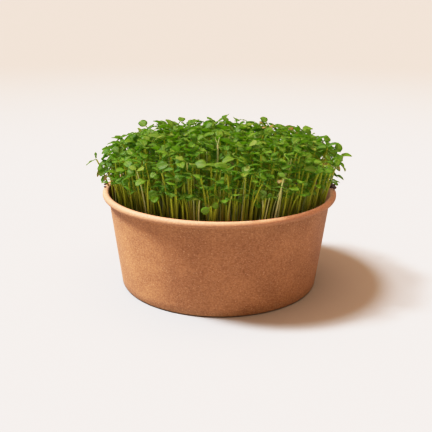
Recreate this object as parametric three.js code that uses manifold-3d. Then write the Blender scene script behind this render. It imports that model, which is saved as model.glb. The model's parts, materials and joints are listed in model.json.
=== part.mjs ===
// A round paper bowl with a rolled rim, filled with growing medium and a dense stand of microgreens.
// Millimetres, +Z up. The origin is the centre of the bowl's foot, on the surface that it stands on.
import * as THREE from "three";
import { mergeVertices } from "three/addons/utils/BufferGeometryUtils.js";
import Module from "manifold-3d";

const wasm = await Module();
wasm.setup();

// The bowl: a tapered paper wall with a curled rim and a hemmed foot
const bowlHeight = 62.4;
const rimRadius = 75;
const footRadius = 64.24;
const curlRadius = 2.05;
const curlEnd = -130;
const curlStep = 45;
const paper = 0.6;
const hemHeight = 3.4;
const baseHeight = 4;
const foldGap = 0.25;
const roundSides = 48;

// The growing medium, with a plain hole for the root plug of each tuft
const fitGap = 0.3;
const mediumTop = 44;
const mediumShoulder = 1.2;

// The tufts: seedlings that share one root plug, spread over the medium by the golden angle
const tuftCount = 47;
const spreadRadius = 61.2;
const goldenAngle = Math.PI * (3 - Math.sqrt(5));
const plugRadius = 6.2;
const plugDepth = 9;
const plugCrown = 1;
const plugSides = 6;
const rootCircle = 3.7;

// The stand: its height in the middle, how much lower it is at its edge, and how far leaves reach.
// Stems fan out as they rise, and near the edge the leaves turn outwards.
const standHeight = 93.2;
const standFall = 6.5;
const reachRadius = 80;
const flare = 1.115;
const mostDrift = 2.6;
const bendOut = 0.36;
const bendUp = 0.52;
const edgeOutness = 0.78;
const edgeTurn = 0.8;
const storeys = [
  { count: tuftCount, lowest: 0, highest: 3 },
  { count: tuftCount, lowest: 5, highest: 10 },
  { count: tuftCount, lowest: 10, highest: 17 },
  { count: 18, lowest: 7, highest: 15 },
];

// One seedling: a stem with two stalked seed leaves, a little larger than life
const stemRoot = 1.5;
const stemTop = 1.2;
const leafThickness = 0.95;
const stalkLength = 2.9;
const stalkWidth = 1.1;
const bladeShare = 0.42;
const tipShare = 0.62;
const leafRanges = {
  yaw: [-0.4, 0.4],
  rise: [0.5, 0.95],
  pitch: [-0.05, 0.5],
  droop: [0.1, 0.45],
  length: [8, 9.6],
  width: [7.6, 9.4],
};

// How the stand is filled: the room between seedlings, the room at the rim, and the tries for each
const clearance = 2.25;
const widestPair = 28;
const throatGap = 1.4;
const overRimGap = 1.6;
const tries = 400;
const seed = 31;

let state = seed;
// The next number of a fixed random sequence, between low and high.
function draw(low, high) {
  state = (Math.imul(state, 1664525) + 1013904223) >>> 0;
  return low + ((high - low) * state) / 2 ** 32;
}

const curlCentreRadius = rimRadius - curlRadius;
const curlCentreHeight = bowlHeight - curlRadius;
const wallSlope = (curlCentreRadius - curlRadius + paper - footRadius) / curlCentreHeight;
// The radius of the wall's outer face, of the base's flange and of the hem, at a height.
const wallAt = (z) => footRadius + wallSlope * z;
const flangeAt = (z) => wallAt(z) - paper - foldGap;
const hemAt = (z) => flangeAt(z) - paper - foldGap;
const mediumAt = (z) => wallAt(z) - paper - fitGap;

// A solid of revolution about Z from [radius, height] pairs.
function turned(profile) {
  const points = profile.map(([radius, height]) => new THREE.Vector2(radius, height));
  return new THREE.LatheGeometry(points, roundSides).rotateX(Math.PI / 2);
}

// The manifold solid of a closed geometry.
function solid(geometry) {
  const bare = geometry.clone();
  bare.deleteAttribute("normal");
  bare.deleteAttribute("uv");
  const merged = mergeVertices(bare, 1e-4);
  return new wasm.Manifold(
    new wasm.Mesh({
      numProp: 3,
      vertProperties: merged.attributes.position.array,
      triVerts: new Uint32Array(merged.index.array),
    }),
  );
}

// The geometry of a manifold solid.
function geometryOf(body) {
  const mesh = body.getMesh();
  const geometry = new THREE.BufferGeometry();
  geometry.setAttribute("position", new THREE.BufferAttribute(mesh.vertProperties, 3));
  geometry.setIndex(new THREE.BufferAttribute(mesh.triVerts, 1));
  return geometry;
}

// The curled rim's points on one of its faces, from one angle to another in degrees.
function curl(radius, from, to) {
  const steps = Math.ceil(Math.abs(to - from) / curlStep);
  const points = [];
  for (let i = 0; i <= steps; i++) {
    const angle = THREE.MathUtils.degToRad(from + ((to - from) * i) / steps);
    points.push([
      curlCentreRadius + radius * Math.cos(angle),
      curlCentreHeight + radius * Math.sin(angle),
    ]);
  }
  return points;
}

// One sheet of paper: the wall, its rim curled outwards and its foot folded in and up as a hem
function bowlWall() {
  return turned([
    [wallAt(0), 0],
    ...curl(curlRadius - paper, 180, curlEnd),
    ...curl(curlRadius, curlEnd, 180),
    [wallAt(paper) - paper, paper],
    [hemAt(paper), paper],
    [hemAt(hemHeight), hemHeight],
    [hemAt(hemHeight) - paper, hemHeight],
    [hemAt(0) - paper, 0],
    [wallAt(0), 0],
  ]);
}

// The base: a disc whose edge is turned down between the wall and its hem
function bowlBase() {
  const flangeFoot = paper + foldGap;
  return turned([
    [0, baseHeight],
    [flangeAt(baseHeight) - paper, baseHeight],
    [flangeAt(flangeFoot) - paper, flangeFoot],
    [flangeAt(flangeFoot), flangeFoot],
    [flangeAt(baseHeight + paper), baseHeight + paper],
    [0, baseHeight + paper],
  ]);
}

// An upright prism with its middle at a place on the ground plan.
function prism(place, radius, low, high) {
  return new THREE.CylinderGeometry(radius, radius, high - low, plugSides)
    .rotateX(Math.PI / 2)
    .translate(place.x, place.y, (low + high) / 2);
}

// The growing medium, less the holes that the root plugs stand in
function growingMedium(places) {
  const low = baseHeight + paper + fitGap;
  const shoulder = mediumTop - mediumShoulder;
  const block = turned([
    [0, low],
    [mediumAt(low), low],
    [mediumAt(shoulder), shoulder],
    [mediumAt(mediumTop) - mediumShoulder, mediumTop],
    [0, mediumTop],
  ]);
  const holeFloor = mediumTop - plugDepth - fitGap;
  let body = solid(block);
  for (const place of places)
    body = body.subtract(
      solid(prism(place, plugRadius + fitGap, holeFloor, mediumTop + fitGap)),
    );
  return geometryOf(body);
}

// A leaf's edge, as pairs of points across it from the stem out: the stalk rises, the blade spreads,
// and its tip droops. Each pair is level across, so that the leaf is a strip of bent panels.
function leafEdges(leaf, head, out) {
  const up = new THREE.Vector3(0, 0, 1);
  const along = out.clone().applyAxisAngle(up, leaf.yaw);
  const across = new THREE.Vector3().crossVectors(up, along);
  const side = new THREE.Vector3().crossVectors(up, out);
  const start = head.clone().addScaledVector(out, stemTop / 2);
  const edges = [[
    start.clone().addScaledVector(side, -stemTop / 2),
    start.clone().addScaledVector(side, stemTop / 2),
  ]];
  const panels = [
    { length: stalkLength, width: stalkWidth, rise: leaf.rise },
    { length: leaf.length * bladeShare, width: leaf.width, rise: leaf.pitch },
    {
      length: leaf.length * (1 - bladeShare),
      width: leaf.width * tipShare,
      rise: leaf.pitch - leaf.droop,
    },
  ];
  const middle = start.clone();
  for (const { length, width, rise } of panels) {
    middle.addScaledVector(along, length * Math.cos(rise));
    middle.addScaledVector(up, length * Math.sin(rise));
    edges.push([
      middle.clone().addScaledVector(across, -width / 2),
      middle.clone().addScaledVector(across, width / 2),
    ]);
  }
  return edges;
}

// A seedling drawn at random in a storey of the stand, rooted in its tuft's plug.
function drawSeedling(tuft, storey, rootAngle) {
  const root = new THREE.Vector3(
    tuft.x + rootCircle * Math.cos(rootAngle),
    tuft.y + rootCircle * Math.sin(rootAngle),
    mediumTop - plugCrown,
  );
  const lean = draw(0, 2 * Math.PI);
  const drift = draw(0, mostDrift);
  const head = new THREE.Vector3(
    root.x * flare + drift * Math.cos(lean),
    root.y * flare + drift * Math.sin(lean),
    0,
  );
  const outness = head.length() / reachRadius;
  head.z = standHeight - standFall * outness ** 2 - draw(storey.lowest, storey.highest);
  const bend = new THREE.Vector3().lerpVectors(root, head, bendOut);
  bend.z = THREE.MathUtils.lerp(root.z, head.z, bendUp);
  const turnable = outness > edgeOutness ? edgeTurn : Math.PI / 2;
  const azimuth = Math.atan2(head.y, head.x) + draw(-turnable, turnable);
  const out = new THREE.Vector3(Math.cos(azimuth), Math.sin(azimuth), 0);
  const leaves = [out, out.clone().negate()].map((way) => {
    const drawn = Object.entries(leafRanges).map(([name, range]) => [name, draw(...range)]);
    return leafEdges(Object.fromEntries(drawn), head, way);
  });
  return { root, bend, head, out, leaves };
}

// Points spread over a seedling's leaves, close enough together to stand for them.
function leafPoints(seedling) {
  const acrossSteps = 5;
  const alongSteps = 3;
  const points = [];
  for (const edges of seedling.leaves)
    for (let i = 0; i + 1 < edges.length; i++)
      for (let j = 0; j <= alongSteps; j++)
        for (let k = 0; k <= acrossSteps; k++) {
          const near = edges[i][0].clone().lerp(edges[i][1], k / acrossSteps);
          const far = edges[i + 1][0].clone().lerp(edges[i + 1][1], k / acrossSteps);
          points.push(near.lerp(far, j / alongSteps));
        }
  return points;
}

const stemLines = ({ root, bend, head }) => [
  new THREE.Line3(root, bend),
  new THREE.Line3(bend, head),
];

// Points along a seedling's stem.
function stemPoints(seedling) {
  const steps = 14;
  const points = [];
  for (const line of stemLines(seedling))
    for (let i = 0; i <= steps; i++) points.push(line.at(i / steps, new THREE.Vector3()));
  return points;
}

const nearest = new THREE.Vector3();
const tooNear = (point, line) =>
  line.closestPointToPoint(point, true, nearest).distanceTo(point) < clearance;

// True if two seedlings keep clear of each other.
function clear(a, b) {
  if (Math.hypot(a.head.x - b.head.x, a.head.y - b.head.y) > widestPair) return true;
  const near = (p) => b.leafPoints.some((q) => p.distanceToSquared(q) < clearance ** 2);
  return (
    !a.leafPoints.some((p) => near(p) || b.lines.some((line) => tooNear(p, line))) &&
    !b.leafPoints.some((p) => a.lines.some((line) => tooNear(p, line))) &&
    !a.stemPoints.some((p) => b.lines.some((line) => tooNear(p, line)))
  );
}

// True if a seedling stays clear of the bowl's rim and within the stand's reach.
function inBounds(seedling) {
  const throat = curlCentreRadius - curlRadius - throatGap;
  const overRim = bowlHeight + overRimGap;
  return [...seedling.leafPoints, ...seedling.stemPoints].every((p) => {
    const radius = Math.hypot(p.x, p.y);
    return radius < reachRadius && (radius < throat || p.z > overRim);
  });
}

// Where the tufts stand
const tufts = Array.from({ length: tuftCount }, (_, i) => {
  const turn = i * goldenAngle;
  const out = spreadRadius * Math.sqrt((i + 0.5) / tuftCount);
  return { x: out * Math.cos(turn), y: out * Math.sin(turn), turn, seedlings: [] };
});

// Fills the stand storey by storey. Each seedling is drawn again until it has room.
const stand = [];
storeys.forEach((storey, level) => {
  for (const tuft of tufts.slice(tuftCount - storey.count)) {
    const rootAngle = tuft.turn + (level * 2 * Math.PI) / storeys.length;
    for (let i = 0; i < tries; i++) {
      const seedling = drawSeedling(tuft, storey, rootAngle + draw(-0.4, 0.4));
      seedling.leafPoints = leafPoints(seedling);
      seedling.stemPoints = stemPoints(seedling);
      seedling.lines = stemLines(seedling);
      if (!inBounds(seedling) || !stand.every((other) => clear(seedling, other))) continue;
      stand.push(seedling);
      tuft.seedlings.push(seedling);
      break;
    }
  }
});

// One seedling as one closed surface: a four-sided stem, whose top has a leaf on two opposite sides.
function seedlingGeometry({ root, bend, head, out, leaves }) {
  const vertices = [];
  const triangles = [];
  const add = (point) => vertices.push(point.x, point.y, point.z) / 3 - 1;
  const quad = (a, b, c, d) => triangles.push(a, b, c, a, c, d);
  const up = new THREE.Vector3(0, 0, 1);
  const side = new THREE.Vector3().crossVectors(up, out);
  const down = new THREE.Vector3(0, 0, -leafThickness);

  // Rings of four corners from the root up; the last two are a leaf's thickness apart.
  const corners = [[1, 1], [-1, 1], [-1, -1], [1, -1]];
  const ring = (middle, width) =>
    corners.map(([x, y]) =>
      add(middle.clone().addScaledVector(out, (x * width) / 2).addScaledVector(side, (y * width) / 2)),
    );
  const rings = [
    ring(root, stemRoot),
    ring(bend, (stemRoot + stemTop) / 2),
    ring(head.clone().add(down), stemTop),
    ring(head, stemTop),
  ];
  const [foot, , neck, top] = rings;
  quad(foot[3], foot[2], foot[1], foot[0]);
  quad(top[0], top[1], top[2], top[3]);
  for (let level = 0; level + 1 < rings.length; level++)
    for (let i = 0; i < 4; i++) {
      const bearsLeaf = level === 2 && i % 2 === 1;
      const next = (i + 1) % 4;
      const [low, high] = [rings[level], rings[level + 1]];
      if (!bearsLeaf) quad(low[i], low[next], high[next], high[i]);
    }

  // The leaves, whose first pair of points is the stem's own corners: 3 and 0, or 1 and 2.
  leaves.forEach((edges, index) => {
    const [right, left] = index === 0 ? [3, 0] : [1, 2];
    let above = [top[right], top[left]];
    let below = [neck[right], neck[left]];
    for (const pair of edges.slice(1)) {
      const nextAbove = pair.map((point) => add(point));
      const nextBelow = pair.map((point) => add(point.clone().add(down)));
      quad(above[0], nextAbove[0], nextAbove[1], above[1]);
      quad(nextBelow[1], nextBelow[0], below[0], below[1]);
      quad(below[0], nextBelow[0], nextAbove[0], above[0]);
      quad(above[1], nextAbove[1], nextBelow[1], below[1]);
      above = nextAbove;
      below = nextBelow;
    }
    quad(below[0], below[1], above[1], above[0]);
  });

  const geometry = new THREE.BufferGeometry();
  geometry.setAttribute("position", new THREE.Float32BufferAttribute(vertices, 3));
  geometry.setIndex(triangles);
  return geometry;
}

// A tuft: its seedlings joined at a root plug
function seedlingTuft(tuft) {
  let body = solid(prism(tuft, plugRadius, mediumTop - plugDepth, mediumTop + plugCrown));
  for (const seedling of tuft.seedlings) body = body.add(solid(seedlingGeometry(seedling)));
  return geometryOf(body);
}

const kraftPaper = new THREE.MeshStandardMaterial({ color: 0xc08a5e, roughness: 0.85, metalness: 0 });
const soil = new THREE.MeshStandardMaterial({ color: 0x2e2118, roughness: 0.95, metalness: 0 });
const greens = new THREE.MeshStandardMaterial({ color: 0x5d8f2c, roughness: 0.6, metalness: 0 });

const part = new THREE.Group();
// Adds a named sub-part.
function addPart(name, geometry, material) {
  const mesh = new THREE.Mesh(geometry, material);
  mesh.name = name;
  part.add(mesh);
}
addPart("bowl_wall", bowlWall(), kraftPaper);
addPart("bowl_base", bowlBase(), kraftPaper);
addPart("growing_medium", growingMedium(tufts), soil);
tufts.forEach((tuft, i) => {
  addPart(`seedling_tuft_${String(i + 1).padStart(2, "0")}`, seedlingTuft(tuft), greens);
});

export default part;
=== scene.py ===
# %% [markdown]
# # Microgreens in a paper bowl
# A round kraft-paper bowl holds growing medium and about 1,600 young cress seedlings. The CAD
# model gives the bowl, the medium and a few sturdy seedlings for each tuft. This lesson dresses
# that frame: it turns a finer bowl, grows the full stand with Geometry Nodes, and gives every
# surface a procedural finish. Everything is in metres, with Z up and the bowl's foot at zero.

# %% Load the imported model
import json
import math

import bmesh
import bpy
import numpy as np
from mathutils import Matrix, Vector, noise

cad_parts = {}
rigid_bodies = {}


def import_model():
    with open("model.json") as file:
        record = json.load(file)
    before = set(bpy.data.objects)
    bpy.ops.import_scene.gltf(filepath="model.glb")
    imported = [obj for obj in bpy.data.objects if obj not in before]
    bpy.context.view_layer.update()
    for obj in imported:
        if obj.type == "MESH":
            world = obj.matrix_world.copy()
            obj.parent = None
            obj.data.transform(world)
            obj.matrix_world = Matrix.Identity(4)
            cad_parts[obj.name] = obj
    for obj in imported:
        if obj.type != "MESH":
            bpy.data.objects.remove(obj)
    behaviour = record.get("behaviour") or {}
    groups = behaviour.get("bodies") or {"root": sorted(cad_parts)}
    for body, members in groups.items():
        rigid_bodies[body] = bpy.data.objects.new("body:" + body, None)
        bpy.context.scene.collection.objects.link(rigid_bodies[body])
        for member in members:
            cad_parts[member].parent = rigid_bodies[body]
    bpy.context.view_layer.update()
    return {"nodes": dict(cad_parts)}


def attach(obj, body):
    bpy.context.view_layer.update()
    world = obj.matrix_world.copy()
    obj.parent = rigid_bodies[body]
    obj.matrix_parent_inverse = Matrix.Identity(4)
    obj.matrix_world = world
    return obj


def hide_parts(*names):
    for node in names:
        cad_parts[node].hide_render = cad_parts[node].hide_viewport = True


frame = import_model()
MM = 0.001
tuft_nodes = sorted(name for name in frame["nodes"] if name.startswith("seedling_tuft_"))

# %% [markdown]
# ## The camera
# The photograph looks down on the bowl by about 18 degrees, from close by with a normal lens. The
# rim's ellipse fixes the height of the view, and how much narrower the foot looks than the rim
# fixes the distance. A camera object looks along its own -Z, so its matrix is written from the
# three directions right, up and back, and then turned by the slight roll of the photograph.

# %% Camera
VIEW_TARGET = Vector((-2.1, 0, 42.04)) * MM
VIEW_DISTANCE = 442.8 * MM
VIEW_ELEVATION = math.radians(18.08)
VIEW_ROLL = math.radians(0.43)
LENS_MM = 56.0
SENSOR_MM = 36.0

back = Vector((0, -math.cos(VIEW_ELEVATION), math.sin(VIEW_ELEVATION)))
right = Vector((1, 0, 0))
camera_data = bpy.data.cameras.new("camera")
camera_data.lens = LENS_MM
camera_data.sensor_width = SENSOR_MM
camera_data.clip_start = 0.01
camera = bpy.data.objects.new("camera", camera_data)
axes = Matrix((right, back.cross(right), back)).transposed()
place = Matrix.Translation(VIEW_TARGET + VIEW_DISTANCE * back)
camera.matrix_world = place @ (axes @ Matrix.Rotation(VIEW_ROLL, 3, "Z")).to_4x4()
bpy.context.scene.collection.objects.link(camera)
bpy.context.scene.camera = camera
print("camera at", [round(v, 3) for v in camera.matrix_world.translation])

# %% [markdown]
# ## Writing node trees as sums
# A material or a Geometry Nodes tree is a graph of small nodes, and a graph drawn one link at a
# time in a script is hard to read. Here a node's output is wrapped in a small class whose
# operators add the matching Math node, so that a mask can be written as `1 - fade * fade`. Any
# other node comes from one method, which sets its options first and then its sockets.

# %% Node helpers
VECTOR_TYPES = ("VECTOR", "RGBA")


class Value:
    """A node's output. An operator on it adds a Math node, or a Vector Math node for vectors."""

    def __init__(self, graph, socket):
        self.graph = graph
        self.socket = socket

    def __getitem__(self, name):
        return Value(self.graph, self.socket.node.outputs[name])

    def math(self, operation, *others):
        """One Math node, or one Vector Math node if any side is a vector."""
        sides = (self, *others)
        vector = any(isinstance(s, Value) and s.socket.type in VECTOR_TYPES for s in sides)
        kind = "ShaderNodeVectorMath" if vector else "ShaderNodeMath"
        return self.graph.add(kind, {"operation": operation}, *sides)

    def __add__(self, other):
        return self.math("ADD", other)

    def __sub__(self, other):
        return self.math("SUBTRACT", other)

    def __mul__(self, other):
        return self.math("MULTIPLY", other)

    def __truediv__(self, other):
        return self.math("DIVIDE", other)

    def __radd__(self, other):
        return self.math("ADD", other)

    def __rmul__(self, other):
        return self.math("MULTIPLY", other)

    def __rsub__(self, other):
        return (self * -1) + other

    def __pow__(self, power):
        return self.math("POWER", power)


class Graph:
    """A node tree that nodes are added to."""

    def __init__(self, tree):
        self.tree = tree

    def add(self, kind, settings=None, *values, **named):
        """Adds a node, sets its options, then feeds its sockets in order and by name."""
        node = self.tree.nodes.new(kind)
        for name, setting in (settings or {}).items():
            setattr(node, name, setting)
        sockets = [socket for socket in node.inputs if socket.enabled]
        for socket, value in zip(sockets, values):
            self.feed(socket, value)
        for name, value in named.items():
            wanted = name.replace("_", " ")
            self.feed(next(s for s in sockets if s.name == wanted), value)
        outputs = [socket for socket in node.outputs if socket.enabled]
        return Value(self, outputs[0]) if outputs else None

    def feed(self, socket, value):
        """Links a value to a socket, or sets the socket's own number."""
        if isinstance(value, Value):
            self.tree.links.new(value.socket, socket)
        elif isinstance(value, (int, float)) and hasattr(socket.default_value, "__len__"):
            socket.default_value = [value] * len(socket.default_value)
        else:
            socket.default_value = value


def linear(red, green, blue):
    """A colour from 0-255 display values, as the linear values that shaders use."""
    shares = (channel / 255 for channel in (red, green, blue))
    return tuple(s / 12.92 if s <= 0.04045 else ((s + 0.055) / 1.055) ** 2.4 for s in shares)


# %% [markdown]
# ## Placing a finished piece
# Each visible piece rides on the one body of this model and may stand for a CAD node, which is
# then hidden. Its place is in its mesh, so its object stays at the origin. One helper does all of
# that.

# %% Piece helper
def finish_piece(piece, slot, *replaced):
    """Puts a piece on the model's body and hides the CAD nodes it stands for."""
    if piece.name not in bpy.context.scene.collection.objects:
        bpy.context.scene.collection.objects.link(piece)
    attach(piece, "root")
    if replaced:
        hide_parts(*replaced)


def mesh_object(name, vertices, faces, material):
    """A new object whose smooth mesh has these vertices and faces."""
    mesh = bpy.data.meshes.new(name)
    mesh.from_pydata([tuple(v) for v in vertices], [], faces)
    mesh.polygons.foreach_set("use_smooth", [True] * len(mesh.polygons))
    mesh.materials.append(material)
    mesh.update()
    return bpy.data.objects.new(name, mesh)


# %% [markdown]
# ## Kraft paper
# The bowl is brown kraft board: matt, slightly cloudy, and speckled by its fibres. Noise at three
# scales gives that: clouds some 20 mm across, fibre clumps of about a millimetre, and short fibres
# drawn out in one direction. The pattern reads the object's own coordinates, so it is the same from
# every side. The height in them also finds the rolled rim, where a paler colour is painted as sheen.

# %% Kraft material
KRAFT = linear(184, 127, 77)
KRAFT_DARK = linear(131, 80, 41)
KRAFT_PALE = linear(226, 180, 132)
# Painted sheen: a paler colour laid on the rolled rim, between the two heights below
KRAFT_RIM_SHEEN = linear(186, 140, 108)
SHEEN_FOOT = 58.6 * MM
SHEEN_TOP = 60.4 * MM
CLOUD_SCALE = 55
CLUMP_SCALE = 900
FLECK_SCALE = 1500
FIBRE_SCALE = (700, 700, 3200)
FIBRE_RELIEF = 0.2 * MM


def new_material(name):
    """An empty material, as its graph and its output's surface socket."""
    material = bpy.data.materials.new(name)
    material.use_nodes = True
    material.node_tree.nodes.clear()
    graph = Graph(material.node_tree)
    output = material.node_tree.nodes.new("ShaderNodeOutputMaterial")
    return material, graph, output.inputs["Surface"]


def mixed(graph, amount, first, second):
    """Two colours mixed by an amount."""
    settings = {"data_type": "RGBA"}
    colours = [c if isinstance(c, Value) else (*c, 1.0) for c in (first, second)]
    return graph.add("ShaderNodeMix", settings, Factor=amount, A=colours[0], B=colours[1])


def noise_of(graph, vector, scale, detail=3.0, roughness=0.5):
    """A noise value from about 0 to 1, at a scale in patterns a metre."""
    return graph.add(
        "ShaderNodeTexNoise", {}, Vector=vector, Scale=scale, Detail=detail, Roughness=roughness
    )


def contrast(graph, value, low, high):
    """Stretches the part of a value between low and high to 0 to 1."""
    return graph.add("ShaderNodeMapRange", {"interpolation_type": "SMOOTHSTEP"}, value, low, high)


def kraft_material():
    material, g, surface = new_material("kraft_paper")
    here = g.add("ShaderNodeTexCoord")["Object"]
    clouds = contrast(g, noise_of(g, here, CLOUD_SCALE, 3), 0.32, 0.68)
    clumps = contrast(g, noise_of(g, here, CLUMP_SCALE, 2), 0.3, 0.7)
    fibre_space = g.add("ShaderNodeMapping", {}, Vector=here, Scale=FIBRE_SCALE)
    fibres = contrast(g, noise_of(g, fibre_space, 1, 2), 0.35, 0.65)
    grain = clumps * 0.6 + fibres * 0.4
    colour = mixed(g, grain * 0.75 + clouds * 0.25, KRAFT_DARK, KRAFT)
    pale_flecks = contrast(g, noise_of(g, here, FLECK_SCALE, 1), 0.62, 0.74)
    colour = mixed(g, pale_flecks * 0.45, colour, KRAFT_PALE)
    # Painted sheen: the rolled rim is mixed towards a paler colour
    rim_sheen_mask = contrast(g, g.add("ShaderNodeSeparateXYZ", {}, here)["Z"], SHEEN_FOOT, SHEEN_TOP)
    colour = mixed(g, rim_sheen_mask * 0.35, colour, KRAFT_RIM_SHEEN)
    height = grain * 0.7 + clouds * 0.3
    bump = g.add("ShaderNodeBump", {}, Strength=0.35, Distance=FIBRE_RELIEF, Height=height)
    shader = g.add(
        "ShaderNodeBsdfPrincipled", {}, Base_Color=colour, Roughness=0.76 - 0.1 * fibres,
        Specular_IOR_Level=0.45, Normal=bump,
    )
    g.feed(surface, shader)
    return material


kraft = kraft_material()
print("kraft paper, palest above", SHEEN_TOP)

# %% [markdown]
# ## The bowl's wall
# The wall is one sheet of paper, rolled to a cone and lapped at a side seam. Its top is curled
# outwards into the rim, and its foot is folded in and up as a hem that grips the base. A section
# turned about the axis gives all of that. The lap lifts the outer face by a paper's thickness over
# a short way round, which is what makes the seam show, so the turning is done in code, where each
# angle can have its own offset.

# %% Bowl wall
SIDES = 240
PAPER = 0.6 * MM
RIM_RADIUS = 75 * MM
BOWL_HEIGHT = 62.4 * MM
FOOT_RADIUS = 64.24 * MM
CURL_RADIUS = 2.05 * MM
CURL_END = -130
CURL_STEPS = 22
WALL_STEPS = 12
FOLD_GAP = 0.25 * MM
HEM_HEIGHT = 3.4 * MM
BASE_HEIGHT = 4 * MM
SEAM_ANGLE = math.radians(64)
SEAM_LIFT = 0.35 * MM
SEAM_FADE = math.radians(16)
FOLD_TOP = 1.2 * MM
FOOT_FOLD = ((1.7, 0), (1.5, 0.4), (0.7, 0.55), (0.2, 0.8))
HEM_ROUND = 0.3 * MM
WAVES = ((0.12 * MM, 2, 0.6), (0.05 * MM, 7, 0))
SAME_PLACE = 1e-7
NO_LENGTH = 1e-8

curl_centre = RIM_RADIUS - CURL_RADIUS
curl_height = BOWL_HEIGHT - CURL_RADIUS
wall_slope = (curl_centre - CURL_RADIUS + PAPER - FOOT_RADIUS) / curl_height


def wall_at(z):
    """The radius of the wall's outer face at a height."""
    return FOOT_RADIUS + wall_slope * z


def curl(radius, start, end):
    """Points on one face of the curled rim, from one angle to another in degrees."""
    angles = np.radians(np.linspace(start, end, CURL_STEPS + 1))
    return [(curl_centre + radius * math.cos(a), curl_height + radius * math.sin(a)) for a in angles]


def straight(start, end):
    """Points along a straight stretch of the wall's section, without its last point."""
    shares = np.arange(WALL_STEPS) / WALL_STEPS
    return [tuple(np.array(start) * (1 - s) + np.array(end) * s) for s in shares]


def tidy_mesh(piece):
    """Merges doubled points and turns every face outwards."""
    sheet = bmesh.new()
    sheet.from_mesh(piece.data)
    bmesh.ops.remove_doubles(sheet, verts=sheet.verts, dist=SAME_PLACE)
    bmesh.ops.dissolve_degenerate(sheet, edges=sheet.edges, dist=NO_LENGTH)
    bmesh.ops.recalc_face_normals(sheet, faces=sheet.faces)
    sheet.to_mesh(piece.data)
    sheet.free()


def turned(name, section, material, lift=None):
    """A section of (radius, height) points turned about Z. lift(angle, index) moves points out."""
    angles = np.linspace(0, 2 * math.pi, SIDES, endpoint=False)
    count = len(section)
    closed = section[0][0] > 0
    vertices = []
    for angle in angles:
        for index, (radius, height) in enumerate(section):
            out = radius + (lift(angle, index) if lift and radius > 0 else 0)
            vertices.append((out * math.cos(angle), out * math.sin(angle), height))
    faces = []
    for side in range(SIDES):
        here, there = side * count, (side + 1) % SIDES * count
        for index in range(count if closed else count - 1):
            after = (index + 1) % count
            faces.append((here + index, there + index, there + after, here + after))
    piece = mesh_object(name, vertices, faces, material)
    tidy_mesh(piece)
    return piece


flange_at = lambda z: wall_at(z) - PAPER - FOLD_GAP
hem_at = lambda z: flange_at(z) - PAPER - FOLD_GAP
foot_fold = [(wall_at(0) - inset * MM, z * MM) for inset, z in FOOT_FOLD]
outer_face = straight((wall_at(FOLD_TOP), FOLD_TOP), (wall_at(curl_height), curl_height))
inner_curl = curl(CURL_RADIUS - PAPER, 180, CURL_END)
outer_curl = curl(CURL_RADIUS, CURL_END, 180)
inner_face = straight(outer_curl[-1], (wall_at(PAPER) - PAPER, PAPER))[1:]
wall_section = [
    *foot_fold,
    *outer_face,
    *inner_curl,
    *outer_curl,
    *inner_face,
    (wall_at(PAPER) - PAPER, PAPER),
    (hem_at(PAPER), PAPER),
    (hem_at(HEM_HEIGHT), HEM_HEIGHT),
    (hem_at(HEM_HEIGHT) - PAPER, HEM_HEIGHT),
    (hem_at(HEM_ROUND) - PAPER, HEM_ROUND),
    (hem_at(0) - PAPER + HEM_ROUND, 0),
]
outside_count = len(foot_fold) + len(outer_face) + len(inner_curl) + len(outer_curl)


def seam_lift(angle, index):
    """How far the lap and the paper's slight waviness move a point of the wall out."""
    wave = sum(size * math.sin(turns * angle + start) for size, turns, start in WAVES)
    past = (angle - SEAM_ANGLE) % (2 * math.pi)
    lap = SEAM_LIFT * (1 - past / SEAM_FADE) if past < SEAM_FADE else 0
    return wave + (lap if index < outside_count else 0)


bowl_wall = turned("paper_bowl_wall", wall_section, kraft, seam_lift)
finish_piece(bowl_wall, "kraft_paper", "bowl_wall")
print("wall faces:", len(bowl_wall.data.polygons))

# %% [markdown]
# ## The base
# The base is a disc of the same board. Its edge is pressed down into the hem, and a shallow ring is
# embossed in it, which keeps it flat. It is seen only from below.

# %% Bowl base
EMBOSS_RADIUS = 52 * MM
EMBOSS_REACH = 3 * MM
EMBOSS_STEPS = 13
EMBOSS_DEPTH = 0.35 * MM
EMBOSS_SLOPE = 0.6 * MM
FLAT_RADII = (0, 15 * MM, 30 * MM, 45 * MM)
BASE_OUTER = 58 * MM
BASE_ROUND = 0.5 * MM


def emboss(radius):
    """How far the embossed ring lifts the base at a radius."""
    return EMBOSS_DEPTH * (1 - 1 / (1 + math.exp((EMBOSS_RADIUS - radius) / EMBOSS_SLOPE)))


flange_foot = PAPER + FOLD_GAP
inside, outside = EMBOSS_RADIUS - EMBOSS_REACH, EMBOSS_RADIUS + EMBOSS_REACH
base_radii = [*FLAT_RADII, *np.linspace(inside, outside, EMBOSS_STEPS), BASE_OUTER]
under = [(r, BASE_HEIGHT - emboss(r)) for r in base_radii]
over = [(r, BASE_HEIGHT + PAPER - emboss(r)) for r in reversed(base_radii)]
base_section = [
    *under,
    (flange_at(BASE_HEIGHT) - PAPER - BASE_ROUND, BASE_HEIGHT),
    (flange_at(BASE_HEIGHT) - PAPER, BASE_HEIGHT - BASE_ROUND),
    (flange_at(flange_foot) - PAPER, flange_foot),
    (flange_at(flange_foot), flange_foot),
    (flange_at(BASE_HEIGHT), BASE_HEIGHT),
    (flange_at(BASE_HEIGHT) - BASE_ROUND, BASE_HEIGHT + PAPER),
    *over,
]
bowl_base = turned("paper_bowl_base", base_section, kraft)
finish_piece(bowl_base, "kraft_paper", "bowl_base")
print("base faces:", len(bowl_base.data.polygons))

# %% [markdown]
# ## The growing medium
# The seedlings root in a dark, moist mix of coir and peat. From outside it shows only as a dark,
# crumbly floor between the stems. A disc of rings is turned first and its top is then roughened
# with layered noise, which keeps the block closed and its sides straight where the bowl holds it.

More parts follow.
